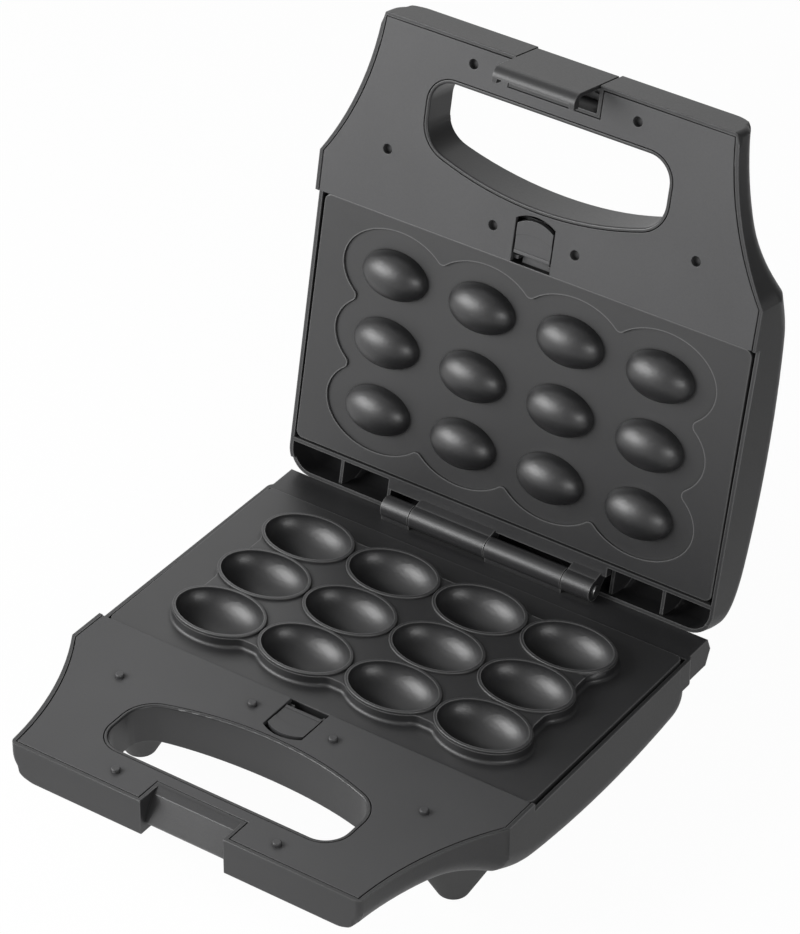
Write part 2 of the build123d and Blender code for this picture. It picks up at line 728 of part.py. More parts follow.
latch_pin_plane = Plane(
    origin=(0, latch_pin_y, level(LID, latch_pin_depth)), x_dir=(0, 1, 0), z_dir=(1, 0, 0)
)
gland_plane = Plane(origin=(gland_x, gland_rear_y, level(BASE, gland_depth)), z_dir=(0, -1, 0))
lamp_centres = [(x, lamp_y) for x in lamp_places]
tray_post_centres = [(x, hand * y) for x, y in mirrored(tray_post_places) for hand in (-1, 1)]
foot_cutter = half_body(BASE, -foot_seat_gap)

pieces = {}

# Lower casing
with BuildPart() as base_shell:
    add(casing(BASE))
    deck = [
        (deck_front_y, rim_depth),
        (deck_edge_y, rim_depth),
        (deck_rear_y, deck_shoulder_depth),
        (deck_bottom_y, deck_bottom_depth),
        (deck_front_y, deck_bottom_depth),
    ]
    add(cross_bar(BASE, deck, -deck_half_width, deck_half_width))
    for x_from, x_to in base_knuckles:
        web = [
            (hinge_y - base_web_front, -hinge_depth),
            (hinge_y + base_web_rear, -hinge_depth),
            (hinge_y + base_web_rear, rim_depth + deck_wall / 2),
            (hinge_y - base_web_front, rim_depth + deck_wall / 2),
        ]
        add(cross_bar(BASE, web, x_from, x_to))
        add(knuckle(x_from, x_to))
    deck_hollow = [
        (deck_front_y + deck_wall, rim_depth + deck_wall),
        (deck_edge_y - deck_wall, rim_depth + deck_wall),
        (deck_rear_y - deck_wall, deck_shoulder_depth),
        (deck_bottom_y - deck_wall, deck_bottom_depth - deck_wall),
        (deck_front_y - deck_wall, deck_bottom_depth - deck_wall),
        (deck_front_y - deck_wall, deck_bottom_depth - 2 * deck_wall),
        (deck_front_y + deck_wall, deck_bottom_depth - 2 * deck_wall),
    ]
    hollow_half_width = casing_inner_half_width - wall
    add(cross_bar(BASE, deck_hollow, -hollow_half_width, hollow_half_width), mode=Mode.SUBTRACT)
    add(rear_lug_slots(BASE, deck_front_y), mode=Mode.SUBTRACT)
    with BuildSketch(hinge_axis_plane):
        Circle(hinge_pin_radius + hinge_pin_clearance)
    extrude(amount=barrel_half_length + 1, both=True, mode=Mode.SUBTRACT)
    # Seat of the cord gland in the rear wall
    with BuildSketch(gland_plane):
        Circle(gland_boss_radius)
    extrude(amount=gland_rear_y - gland_front_y - gland_snap_length - 2 * gland_gap)
    with BuildSketch(gland_plane):
        Circle(gland_body_radius + gland_gap)
    extrude(amount=beyond, mode=Mode.SUBTRACT)
    # Platform of the terminal block
    with BuildPart(mode=Mode.PRIVATE) as platform:
        with BuildSketch(plan_plane(BASE, terminal_depth + terminal_height)):
            with Locations((terminal_x, terminal_y)):
                Rectangle(terminal_length, terminal_width)
        extrude(amount=BASE * beyond)
        add(half_body(BASE, wall / 2), mode=Mode.INTERSECT)
    add(platform.part)
    # Peg holes of the feet
    with BuildSketch(Plane.XY):
        with Locations(*mirrored(foot_places.values())):
            Circle(foot_peg_radius + foot_seat_gap)
    extrude(amount=foot_top_z, mode=Mode.SUBTRACT)

pieces["base_shell"] = base_shell

# Inner panel of the lower handle, with its locating pins
with BuildPart() as base_handle_cover:
    add(handle_cover(BASE))
    with BuildSketch(plan_plane(BASE, handle_face_depth)):
        with Locations(*mirrored(pin_places)):
            Circle(pin_radius)
    extrude(amount=pin_height)
    fillet(base_handle_cover.edges().group_by(Axis.Z)[-1], pin_edge_radius)

pieces["base_handle_cover"] = base_handle_cover

# Lower plate: a scalloped plateau with twelve lipped cups
with BuildPart() as base_plate:
    add(plate_blank(BASE, base_plate_depth))
    with BuildSketch(plan_plane(BASE, base_plate_depth)):
        add(
            scalloped_outline(
                plateau_half_x, plateau_half_y, plateau_fill_x, plateau_fill_y, plateau_valley_radius
            )
        )
    extrude(amount=plateau_height)
    foot_z = level(BASE, base_plate_depth)
    foot_edges = [
        edge
        for edge in base_plate.edges()
        if abs(edge.center().Z - foot_z) < seam_gap / 2
        and abs(edge.center().X) < plateau_fill_x + plateau_half_x / 2
        and abs(edge.center().Y - plate_middle_y) < plate_length / 2 - plate_corner_radius
    ]
    fillet(foot_edges, plateau_foot_radius)
    lip_z = foot_z + plateau_height + lip_height
    with BuildSketch(Plane.XY.offset(lip_z - lip_height)):
        with GridLocations(cup_pitch_x, cup_pitch_y, cup_columns, cup_rows):
            Ellipse(lip_half_x, lip_half_y)
    extrude(amount=lip_height)
    lip_edges = base_plate.edges().group_by(Axis.Z)[-1]
    fillet(lip_edges, lip_edge_radius)
    underside_z = level(BASE, base_plate_depth + plate_thickness)
    under_depth = cup_depth + cup_wall
    top_share = 0.9 * (lip_z - underside_z) / under_depth
    cup_under = faceted_cap(cup_half_x + cup_wall, cup_half_y + cup_wall, under_depth, top_share=top_share)
    cup = cap(cup_half_x, cup_half_y, cup_depth)
    with Locations((0, 0, lip_z)):
        with GridLocations(cup_pitch_x, cup_pitch_y, cup_columns, cup_rows):
            add(cup_under)
            add(cup, mode=Mode.SUBTRACT)

pieces["base_plate"] = base_plate

# Upper casing, with the trough behind its plate and the block that carries its knuckles
with BuildPart() as lid_shell:
    add(casing(LID))
    with BuildPart(mode=Mode.PRIVATE) as trough:
        with BuildSketch(plan_plane(LID, rim_depth)):
            with Locations((0, trough_front_y + wall / 2)):
                Rectangle(2 * through, wall)
        extrude(amount=through)
        with BuildSketch(plan_plane(LID, trough_rib_depth)):
            with Locations(*mirrored([(x, (trough_front_y + lid_rear_y) / 2) for x in trough_rib_places])):
                Rectangle(trough_rib_thickness, lid_rear_y - trough_front_y)
        extrude(amount=through)
        add(half_body(LID, wall / 2), mode=Mode.INTERSECT)
    add(trough.part)
    block = [
        (trough_front_y, rim_depth),
        (hinge_block_rear_y, rim_depth),
        (hinge_block_rear_y, hinge_block_depth),
        (trough_front_y, hinge_block_depth),
    ]
    add(cross_bar(LID, block, -hinge_block_half_width, hinge_block_half_width))
    block_hollow = [
        (trough_front_y + wall, rim_depth + hinge_block_wall),
        (hinge_block_rear_y - hinge_block_wall, rim_depth + hinge_block_wall),
        (hinge_block_rear_y - hinge_block_wall, hinge_block_depth),
        (trough_front_y + wall, hinge_block_depth),
    ]
    hollow_half_width = hinge_block_half_width - hinge_block_wall
    add(cross_bar(LID, block_hollow, -hollow_half_width, hollow_half_width), mode=Mode.SUBTRACT)
    for x_from, x_to in lid_knuckles:
        web = [
            (hinge_y, hinge_depth),
            (hinge_y - lid_web_front, hinge_depth),
            (hinge_block_rear_y - hinge_block_wall / 2, rim_depth),
            (hinge_block_rear_y - hinge_block_wall / 2, lid_web_depth),
            (hinge_block_rear_y, lid_web_depth),
            (hinge_y, hinge_depth + barrel_radius),
        ]
        add(cross_bar(LID, web, x_from, x_to))
        add(knuckle(x_from, x_to))
    add(rear_lug_slots(LID, trough_front_y), mode=Mode.SUBTRACT)
    with BuildSketch(hinge_axis_plane):
        Circle(hinge_pin_radius + hinge_pin_clearance)
    extrude(amount=barrel_half_length + 1, both=True, mode=Mode.SUBTRACT)
    # Stop that the latch rests on, between its ears
    stop_y = front_y + latch_thickness + latch_stop_gap
    stop_root_y = notch_back_y + wall / 2
    stop = [
        (stop_root_y, latch_stop_top),
        (stop_y, latch_stop_top),
        (stop_y, latch_stop_end),
        (stop_root_y, latch_stop_end),
    ]
    add(cross_bar(LID, stop, -latch_stop_half_width, latch_stop_half_width))
    # Bore of the latch pin and seats of the lamps
    with BuildSketch(latch_pin_plane):
        Circle(latch_pin_radius + latch_pin_clearance)
    extrude(amount=notch_half_width + 2 * wall, both=True, mode=Mode.SUBTRACT)
    add(columns(LID, lamp_centres, lamp_flange_radius + lamp_gap, lamp_seat_depth, through), mode=Mode.SUBTRACT)
    add(columns(LID, lamp_centres, lamp_barrel_radius + lamp_gap, lamp_barrel_end_depth, through), mode=Mode.SUBTRACT)

pieces["lid_shell"] = lid_shell

# Inner panel of the upper handle, with a socket for each pin
with BuildPart() as lid_handle_cover:
    add(handle_cover(LID))
    socket_end = handle_face_depth + socket_depth
    rim_radius = socket_radius + socket_wall
    add(columns(LID, mirrored(pin_places), rim_radius, cover_back_depth, socket_end + socket_wall))
    sockets = columns(LID, mirrored(pin_places), socket_radius, handle_face_depth, socket_end)
    add(sockets, mode=Mode.SUBTRACT)

pieces["lid_handle_cover"] = lid_handle_cover

# Upper plate: twelve domes in a shallow scalloped pocket
with BuildPart() as lid_plate:
    add(plate_blank(LID, lid_plate_depth))
    for margin, depth, mode in ((pocket_margin, plate_thickness, Mode.ADD), (0, 0, Mode.SUBTRACT)):
        with BuildSketch(plan_plane(LID, lid_plate_depth + depth)):
            add(
                scalloped_outline(
                    pocket_half_x + margin, pocket_half_y + margin, pocket_fill_x, pocket_fill_y, pocket_valley_radius
                )
            )
        extrude(amount=pocket_depth, mode=mode)
    pocket_z = level(LID, lid_plate_depth + pocket_depth)
    dome = cap(dome_half_x, dome_half_y, dome_height)
    dome_hollow = faceted_cap(
        dome_half_x - dome_wall, dome_half_y - dome_wall, dome_height - dome_wall, neck=plate_thickness + 1
    )
    with Locations((0, 0, pocket_z)):
        with GridLocations(cup_pitch_x, cup_pitch_y, cup_columns, cup_rows):
            add(dome)
            add(dome_hollow, mode=Mode.SUBTRACT)

pieces["lid_plate"] = lid_plate

# Latch: a plate in the notch of the lid, bent inwards to a hook, on two ears around its pin
with BuildPart() as latch:
    with BuildSketch(side_plane(LID)) as latch_section:
        with BuildLine():
            Polyline(
                (front_y, latch_top_depth),
                (front_y, -hook_depth - latch_hook_height),
                (latch_hook_y, -hook_depth - latch_hook_height),
                (latch_hook_y, -hook_depth),
                (front_y + latch_thickness, -hook_depth),
                (front_y + latch_thickness, latch_top_depth),
                close=True,
            )
        make_face()
        low_corners = latch_section.vertices().sort_by(Axis.Y)[:2]
        fillet(low_corners.sort_by(Axis.X)[0], latch_bend_radius)
    extrude(amount=latch_half_width, both=True)
    tooth = [
        (front_y + latch_bend_radius, -hook_depth - latch_hook_height),
        (latch_tooth_y, -hook_depth - latch_hook_height),
        (latch_tooth_y, -hook_depth),
        (front_y + latch_bend_radius, -hook_depth),
    ]
    add(cross_bar(LID, tooth, -latch_half_width, latch_tooth_width - latch_half_width))
    add(cross_bar(LID, tooth, latch_half_width - latch_tooth_width, latch_half_width))
    for ear_x in (-latch_ear_x, latch_ear_x):
        with BuildSketch(side_plane(LID, ear_x)):
            with Locations((latch_pin_y, latch_pin_depth)):
                Circle(latch_ear_radius)
            with Locations(((front_y + latch_pin_y) / 2 + latch_thickness / 4, latch_pin_depth)):
                Rectangle(latch_pin_y - front_y - latch_thickness / 2, 2 * latch_ear_radius)
        extrude(amount=latch_ear_width / 2, both=True)
    with BuildSketch(latch_pin_plane):
        Circle(latch_pin_radius + latch_pin_clearance)
    extrude(amount=latch_half_width, both=True, mode=Mode.SUBTRACT)

pieces["latch"] = latch

with BuildPart() as latch_pin:
    with BuildSketch(latch_pin_plane):
        Circle(latch_pin_radius)
    extrude(amount=notch_half_width + wall + latch_pin_overhang, both=True)

pieces["latch_pin"] = latch_pin

# Hinge pin with a flat head at each end of the barrel
with BuildPart() as hinge_pin:
    with BuildSketch(hinge_axis_plane):
        Circle(hinge_pin_radius)
    extrude(amount=barrel_half_length + hinge_head_gap, both=True)
    for end in (-1, 1):
        head_plane = hinge_axis_plane.offset(end * (barrel_half_length + hinge_head_gap))
        with BuildSketch(head_plane):
            Circle(hinge_head_radius)
        extrude(amount=end * hinge_head_length)
    rims = hinge_pin.edges().filter_by(GeomType.CIRCLE).sort_by(Axis.X)
    fillet([rims[0], rims[-1]], hinge_head_length / 2)

pieces["hinge_pin"] = hinge_pin

# What both halves hold: catch and spring, heater, brackets, heat tray and screws
for half, side in (("base", BASE), ("lid", LID)):
    with BuildPart() as piece:
        add(catch(side))
    pieces[f"{half}_catch"] = piece
    with BuildPart() as piece:
        add(catch_spring(side))
    pieces[f"{half}_catch_spring"] = piece
    with BuildPart() as piece:
        add(heat_tray(side))
    pieces[f"{half}_heat_tray"] = piece
    with BuildPart() as piece:
        add(heater(side))
    pieces[f"{half}_heater"] = piece
    for hand, x in zip(("left", "right"), bracket_places):
        with BuildPart() as piece:
            add(heater_bracket(side, x))
        pieces[f"{half}_heater_bracket_{hand}"] = piece
    for number, place in enumerate(mirrored(screw_places), start=1):
        with BuildPart() as piece:
            add(screw(side, place, screw_seat_depth, screw_tip_depth))
        pieces[f"{half}_cover_screw_{number}"] = piece
    for number, place in enumerate(tray_post_centres, start=1):
        with BuildPart() as piece:
            add(screw(side, place, tray_depth, tray_depth + tray_screw_length))
        pieces[f"{half}_tray_screw_{number}"] = piece

# Thermostat on the floor of the lower heat tray
with BuildPart() as thermostat:
    with BuildSketch(plan_plane(BASE, tray_depth)):
        with Locations((thermostat_x, thermostat_y)):
            Circle(thermostat_radius)
    extrude(amount=thermostat_height)
    with BuildSketch(plan_plane(BASE, tray_depth - thermostat_height)):
        with Locations((thermostat_x, thermostat_y)):
            Circle(thermostat_cap_radius)
    extrude(amount=thermostat_height / 4)

pieces["thermostat"] = thermostat

# Thermal fuse, lying on the same floor
with BuildPart() as thermal_fuse:
    fuse_z = level(BASE, tray_depth - fuse_radius - bracket_gap)
    with BuildSketch(Plane(origin=(fuse_x, fuse_y, fuse_z), z_dir=(1, 0, 0))):
        Circle(fuse_radius)
    extrude(amount=fuse_length / 2, both=True)
    with BuildSketch(Plane(origin=(fuse_x, fuse_y, fuse_z), z_dir=(1, 0, 0))):
        Circle(fuse_radius / 4)
    extrude(amount=fuse_length, both=True)

pieces["thermal_fuse"] = thermal_fuse

# Terminal block on its platform
with BuildPart() as terminal_block:
    with BuildSketch(plan_plane(BASE, terminal_depth)):
        with Locations((terminal_x, terminal_y)):
            Rectangle(terminal_length, terminal_width)
    extrude(amount=BASE * terminal_height)
    way_pitch = terminal_length / terminal_ways
    with BuildSketch(plan_plane(BASE, terminal_depth)):
        with Locations((terminal_x, terminal_y)):
            with GridLocations(way_pitch, terminal_width / 2, terminal_ways, 2):
                Circle(screw_hole_radius)
    extrude(amount=BASE * terminal_height / 2, mode=Mode.SUBTRACT)

pieces["terminal_block"] = terminal_block

# Cord gland, snapped into its seat in the rear wall
with BuildPart() as cord_gland:
    with BuildSketch(gland_plane):
        Circle(gland_flange_radius)
    extrude(amount=-gland_flange)
    with BuildSketch(gland_plane):
        Circle(gland_body_radius)
    extrude(amount=gland_rear_y - gland_front_y)
    with BuildSketch(gland_plane.offset(gland_rear_y - gland_front_y)):
        Circle(gland_snap_radius)
    extrude(amount=-gland_snap_length)
    with BuildSketch(gland_plane.offset(-gland_flange)):
        Circle(gland_bore_radius)
    extrude(amount=through, mode=Mode.SUBTRACT)

pieces["cord_gland"] = cord_gland

# Lamp lenses in the lid and the holder on their barrels
for hand, x in zip(("left", "right"), lamp_places):
    with BuildPart() as lens:
        add(columns(LID, [(x, lamp_y)], lamp_barrel_radius, lamp_barrel_end_depth, lamp_seat_depth))
        with BuildSketch(plan_plane(LID, lamp_seat_depth)):
            with Locations((x, lamp_y)):
                Circle(lamp_flange_radius)
        extrude(amount=lamp_flange)
        with Locations(Location((x, lamp_y, level(LID, lamp_seat_depth + lamp_flange)), (180, 0, 0))):
            add(cap(lamp_barrel_radius, lamp_barrel_radius, lamp_dome))
    pieces[f"lid_lamp_lens_{hand}"] = lens

with BuildPart() as lamp_holder:
    with BuildSketch(plan_plane(LID, holder_depth)):
        with Locations((0, lamp_y)):
            RectangleRounded(2 * holder_half_length, 2 * holder_half_width, holder_half_width / 2)
    extrude(amount=holder_height)
    sockets = columns(
        LID, lamp_centres, lamp_barrel_radius + lamp_gap, lamp_barrel_end_depth, holder_depth + holder_height
    )
    add(sockets, mode=Mode.SUBTRACT)

pieces["lid_lamp_holder"] = lamp_holder

# Feet: cones that widen up to the underside of the casing, each with a peg into it
for row, (x, y) in foot_places.items():
    for hand, foot_x in (("left", -x), ("right", x)):
        with BuildPart() as foot:
            with BuildSketch(Plane(origin=(foot_x, y, 0), x_dir=(1, 0, 0), z_dir=(0, -1, 0))):
                with BuildLine():
                    Polyline(
                        (0, 0),
                        (foot_bottom_radius, 0),
                        (foot_bottom_radius + foot_flare * foot_top_z, foot_top_z),
                        (0, foot_top_z),
                        close=True,
                    )
                make_face()
            revolve(axis=Axis((foot_x, y, 0), (0, 0, 1)))
            fillet(foot.edges().group_by(Axis.Z)[0], foot_edge_radius)
            add(foot_cutter, mode=Mode.SUBTRACT)
            with BuildSketch(Plane.XY.offset(foot_edge_radius)):
                with Locations((foot_x, y)):
                    Circle(foot_peg_radius)
            extrude(amount=foot_peg_tops[row] - foot_edge_radius)
        pieces[f"foot_{row}_{hand}"] = foot

# Open the lid as far as its stop, and put the origin under the middle of the maker
hinge_axis = Axis((0, hinge_y, hinge_z), (1, 0, 0))
for name, piece in pieces.items():
    if name.startswith(("lid", "latch")):
        piece.part = piece.part.rotate(hinge_axis, -open_angle)
boxes = [piece.part.bounding_box() for piece in pieces.values()]
middle_y = (min(box.min.Y for box in boxes) + max(box.max.Y for box in boxes)) / 2

os.makedirs("parts", exist_ok=True)
for name, piece in pieces.items():
    piece.part = piece.part.moved(Location((0, -middle_y, 0)))
    piece.part.label = name
    export_step(piece.part, f"parts/{name}.step")
print(f"{len(pieces)} pieces, moved by {-middle_y:.3f} mm along Y")
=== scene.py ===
import json
import math

import bmesh
import bpy
from mathutils import Euler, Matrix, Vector

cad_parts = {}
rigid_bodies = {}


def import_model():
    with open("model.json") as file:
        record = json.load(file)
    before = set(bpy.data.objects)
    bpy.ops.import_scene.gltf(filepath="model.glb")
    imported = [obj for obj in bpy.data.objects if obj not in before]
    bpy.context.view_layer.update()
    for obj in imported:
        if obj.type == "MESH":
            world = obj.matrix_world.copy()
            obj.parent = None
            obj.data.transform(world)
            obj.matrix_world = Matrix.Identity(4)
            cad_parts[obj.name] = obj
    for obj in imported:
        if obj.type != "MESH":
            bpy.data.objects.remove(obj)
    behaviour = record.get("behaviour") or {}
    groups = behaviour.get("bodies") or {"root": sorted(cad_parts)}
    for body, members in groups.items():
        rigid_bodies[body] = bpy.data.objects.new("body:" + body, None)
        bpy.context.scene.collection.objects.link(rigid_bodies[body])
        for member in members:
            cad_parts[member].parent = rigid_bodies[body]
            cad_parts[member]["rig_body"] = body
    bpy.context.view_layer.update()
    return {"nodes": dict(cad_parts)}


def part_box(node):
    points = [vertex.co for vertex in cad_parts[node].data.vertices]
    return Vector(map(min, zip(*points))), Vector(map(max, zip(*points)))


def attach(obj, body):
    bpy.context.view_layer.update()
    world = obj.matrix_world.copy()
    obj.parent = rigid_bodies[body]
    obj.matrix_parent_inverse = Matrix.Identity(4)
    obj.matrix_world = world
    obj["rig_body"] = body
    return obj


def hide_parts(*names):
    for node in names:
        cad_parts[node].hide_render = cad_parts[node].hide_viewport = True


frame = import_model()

bl_info = {
    "name": "Snack maker dresser",
    "version": (1, 0, 0),
    "blender": (4, 5, 0),
    "location": "View3D > Sidebar > Snack maker",
    "description": "Finishes the pieces of a hinged snack maker and sets up its studio",
    "category": "Object",
}

HALVES = ("base", "lid")
MM = 0.001
WHITE = "#FFFFFF"
# Sockets of a Mix node in its colour mode
MIX_SHARE, MIX_FIRST, MIX_SECOND, MIX_RESULT = 0, 6, 7, 2

# Width of the painted highlight along an outer edge, and how much of the highlight colour it takes
EDGE_HIGHLIGHT_WIDTH = 0.7 * MM
EDGE_HIGHLIGHT_SHARE = 0.8
# Reach of the painted shade in a narrow corner, the share of the colour left there, and its roughness
PAINTED_SHADE_REACH = 2.4 * MM
PAINTED_SHADE_TONE = 0.2
CREVICE_ROUGHNESS = 0.85
# Size of the broad mottling, in grains
BROAD_PATCH = 60
# How open a corner is (1 is open) where its painted shade starts and where it is full, then the
# same for the painted highlight along an outer edge
PAINTED_SHADE_START, PAINTED_SHADE_FULL = 0.92, 0.4
EDGE_HIGHLIGHT_START, EDGE_HIGHLIGHT_FULL = 0.95, 0.45
# Rays for each painted shade or painted edge highlight that a material looks for
EDGE_SAMPLES = 6

# Edges sharper than this, in degrees, stay sharp or are softened
CREASE = 32.0
# Neighbouring facets within this angle, in degrees, are one face
FLAT_ANGLE = 0.4
# Points nearer than this are one point
WELD = 0.002 * MM
# Radii of the softened edges of casings, panels and latch, of the catches and of the plates
EDGE_RADIUS = 0.3 * MM
CATCH_EDGE_RADIUS = 0.15 * MM
PLATE_EDGE_RADIUS = 0.35 * MM
EDGE_SEGMENTS = 2
# Radius of the upright corners at the front of each handle
CORNER_RADIUS = 2.6 * MM
CORNER_SEGMENTS = 6
# Where those corners are: this near to the end of the handle, and this far from its middle
HANDLE_TIP = 8.0 * MM
HANDLE_CORNER_X = 84.0 * MM
# Length of the handle, where the edges of a casing are softened
HANDLE_LENGTH = 86.0 * MM
# How far from its outline the edges of a baking plate are softened
RIM_REACH = 6.0 * MM
# Ways from each handle panel to its baking plate; the lid leans back by 12.2 degrees
TO_PLATE = {"base": Vector((0, 1, 0)), "lid": Vector((0, -0.2113, -0.9774))}
# How far a panel and a plate are each cut back at the seam between them, so that it shows dark
SEAM_CUT = 0.2 * MM

# Point that the lamps look at
LAMP_TARGET = (0, 0.02, 0.1)
# Direction, distance, width and height of each lamp, by the name of its power in StageSettings
LAMPS = {
    "key": ((-0.68, -0.6, 0.45), 1.1, (0.9, 0.55)),
    "rear": ((-0.46, 0.65, 0.61), 1.4, (0.7, 0.7)),
    "fill": ((0.76, -0.56, 0.3), 1.3, (0.6, 0.5)),
}
FLOOR_HALF_WIDTH = 6.0
# Along X, in metres, where the floor fades as gloss mirrors it
FLOOR_FADE = (-0.1, 0.25)
# The same for the world, as a share of a direction's length
WORLD_FADE = (-0.3, 0.5)
# Strength of the floor as the camera sees it, next to a world of 1
FLOOR_GLOW = 0.97
# Place of the camera, and its pitch down and its turn in degrees
CAMERA_PLACE = (0.86953, -1.23844, 1.22218)
CAMERA_DOWN, CAMERA_TURN = 35.52, 34.83


def linear(hex_colour):
    """sRGB hex value as linear RGBA."""
    channels = [int(hex_colour[i : i + 2], 16) / 255 for i in (1, 3, 5)]
    return tuple(c / 12.92 if c <= 0.04045 else ((c + 0.055) / 1.055) ** 2.4 for c in channels) + (1.0,)


def add_node(tree, kind, links=None, **settings):
    """Add a node. Settings name its own properties or its sockets, and links feed its sockets."""
    node = tree.nodes.new(kind)
    for key, value in settings.items():
        if hasattr(node, key):
            setattr(node, key, value)
        else:
            node.inputs[key.replace("_", " ")].default_value = value
    for key, source in (links or {}).items():
        tree.links.new(source, node.inputs[key])
    return node


def new_material(name, **shader):
    """Material with one Principled shader, ready for its pattern."""
    material = bpy.data.materials.new(name)
    material.use_nodes = True
    tree = material.node_tree
    tree.nodes.clear()
    surface = add_node(tree, "ShaderNodeBsdfPrincipled")
    for key, value in shader.items():
        surface.inputs[key.replace("_", " ")].default_value = value
    output = add_node(tree, "ShaderNodeOutputMaterial")
    tree.links.new(surface.outputs["BSDF"], output.inputs["Surface"])
    return material, tree, surface


def grain(tree, surface, dark, light, size, depth, spread, edge_highlight=None):
    """Mottled colour, uneven gloss and fine bumps from one noise.

    The size and depth of a grain are in metres, and the roughness varies by the spread.
    Where an edge highlight colour is given, the outer edges of the piece take it as a painted
    highlight. Narrow corners take a painted shade and are more matt.
    """
    place = add_node(tree, "ShaderNodeTexCoord").outputs["Object"]
    fine = add_node(
        tree, "ShaderNodeTexNoise", {"Vector": place}, Scale=1 / size, Detail=3.0, Roughness=0.6
    )
    broad = add_node(
        tree, "ShaderNodeTexNoise", {"Vector": place}, Scale=1 / (BROAD_PATCH * size), Detail=2.0
    )
    blend = add_node(
        tree, "ShaderNodeMath", {0: fine.outputs["Fac"], 1: broad.outputs["Fac"]}, operation="ADD"
    )
    half = add_node(tree, "ShaderNodeMath", {0: blend.outputs[0]}, operation="MULTIPLY")
    half.inputs[1].default_value = 0.5
    ramp = add_node(tree, "ShaderNodeValToRGB", {"Fac": half.outputs[0]})
    for stop, position, tone in zip(ramp.color_ramp.elements, (0.3, 0.7), (dark, light)):
        stop.position = position
        stop.color = linear(tone)
    colour = ramp.outputs["Color"]
    # Painted shade: narrow corners found by ambient occlusion get a darker colour
    shade_probe = add_node(tree, "ShaderNodeAmbientOcclusion", samples=EDGE_SAMPLES, Distance=PAINTED_SHADE_REACH)
    painted_shade = add_node(
        tree, "ShaderNodeMapRange", {"Value": shade_probe.outputs["AO"]},
        From_Min=PAINTED_SHADE_FULL, From_Max=PAINTED_SHADE_START, To_Min=PAINTED_SHADE_TONE, To_Max=1.0,
    )
    painted_darker = add_node(
        tree, "ShaderNodeMix", {MIX_FIRST: colour, MIX_SECOND: painted_shade.outputs["Result"]},
        data_type="RGBA", blend_type="MULTIPLY",
    )
    painted_darker.inputs[MIX_SHARE].default_value = 1.0
    colour = painted_darker.outputs[MIX_RESULT]
    # Painted highlight: outer edges found by ambient occlusion from inside take a lighter colour
    if edge_highlight:
        highlight_probe = add_node(
            tree, "ShaderNodeAmbientOcclusion",
            inside=True, only_local=True, samples=EDGE_SAMPLES, Distance=EDGE_HIGHLIGHT_WIDTH,
        )
        edge = add_node(
            tree, "ShaderNodeMapRange", {"Value": highlight_probe.outputs["AO"]},
            From_Min=EDGE_HIGHLIGHT_START, From_Max=EDGE_HIGHLIGHT_FULL, To_Max=EDGE_HIGHLIGHT_SHARE,
        )
        highlighted_colour = add_node(
            tree, "ShaderNodeMix", {MIX_SHARE: edge.outputs["Result"], MIX_FIRST: colour},
            data_type="RGBA",
        )
        highlighted_colour.inputs[MIX_SECOND].default_value = linear(edge_highlight)
        colour = highlighted_colour.outputs[MIX_RESULT]
    tree.links.new(colour, surface.inputs["Base Color"])
    base = surface.inputs["Roughness"].default_value
    gloss = add_node(
        tree, "ShaderNodeMapRange", {"Value": fine.outputs["Fac"]},
        To_Min=base - spread, To_Max=base + spread,
    )
    dull = add_node(
        tree, "ShaderNodeMapRange",
        {"Value": painted_shade.outputs["Result"], "To Max": gloss.outputs["Result"]},
        From_Min=PAINTED_SHADE_TONE, From_Max=1.0, To_Min=CREVICE_ROUGHNESS,
    )
    tree.links.new(dull.outputs["Result"], surface.inputs["Roughness"])
    bump = add_node(
        tree, "ShaderNodeBump", {"Height": fine.outputs["Fac"]}, Strength=1.0, Distance=depth
    )
    tree.links.new(bump.outputs["Normal"], surface.inputs["Normal"])


def moulded_plastic(name, dark, light, roughness, edge_highlight=None):
    """Plastic from an eroded mould: a soft sheen over a fine grain.

    The real grain is about 0.3 mm. It is drawn three times as coarse, so that it shows.
    """
    material, tree, surface = new_material(name, Roughness=roughness, IOR=1.54)
    grain(tree, surface, dark, light, size=0.9 * MM, depth=0.035 * MM, spread=0.08, edge_highlight=edge_highlight)
    return material


def coated_casting(name, dark, light, roughness, edge_highlight=None):
    """Cast aluminium under a dark non-stick coat: darker, closer and glossier than the plastic.

    The real speckle is under 0.3 mm. It is drawn coarser, so that it shows.
    """
    material, tree, surface = new_material(name, Roughness=roughness, IOR=1.6)
    grain(tree, surface, dark, light, size=0.8 * MM, depth=0.018 * MM, spread=0.06, edge_highlight=edge_highlight)
    return material


def moulded_rubber(name, dark, light):
    """Moulded rubber: matt, with a dusty bloom, drawn coarser than real."""
    material, tree, surface = new_material(name, Roughness=0.75, IOR=1.52)
    grain(tree, surface, dark, light, size=0.8 * MM, depth=0.01 * MM, spread=0.08)
    return material


def drawn_steel(name, dark, light, roughness):
    """Drawn or rolled steel: metal with fine scratches of uneven gloss."""
    material, tree, surface = new_material(name, Roughness=roughness, Metallic=1.0)
    grain(tree, surface, dark, light, size=0.3 * MM, depth=0.002 * MM, spread=0.08)
    return material


def clear_lens(name, dark, light):
    """Clear tinted polycarbonate: glossy, with a little light let through."""
    material, tree, surface = new_material(name, Roughness=0.12, IOR=1.58)
    grain(tree, surface, dark, light, size=1.0 * MM, depth=0.001 * MM, spread=0.02)
    surface.inputs["Transmission Weight"].default_value = 0.35
    return material


def dress(node, material):
    """Give a CAD node its material and leave its form as it is."""
    materials = frame["nodes"][node].data.materials
    materials.clear()
    materials.append(material)


def outer_edges(form, width, test):
    """Outward sharp edges that pass the test and whose two faces are both wide enough for a bevel."""
    return [
        edge
        for edge in form.edges
        if len(edge.link_faces) == 2
        and edge.is_convex
        and edge.calc_face_angle(0) > math.radians(CREASE)
        and min(face.calc_area() for face in edge.link_faces) > 3 * width * edge.calc_length()
        and test(edge)
    ]


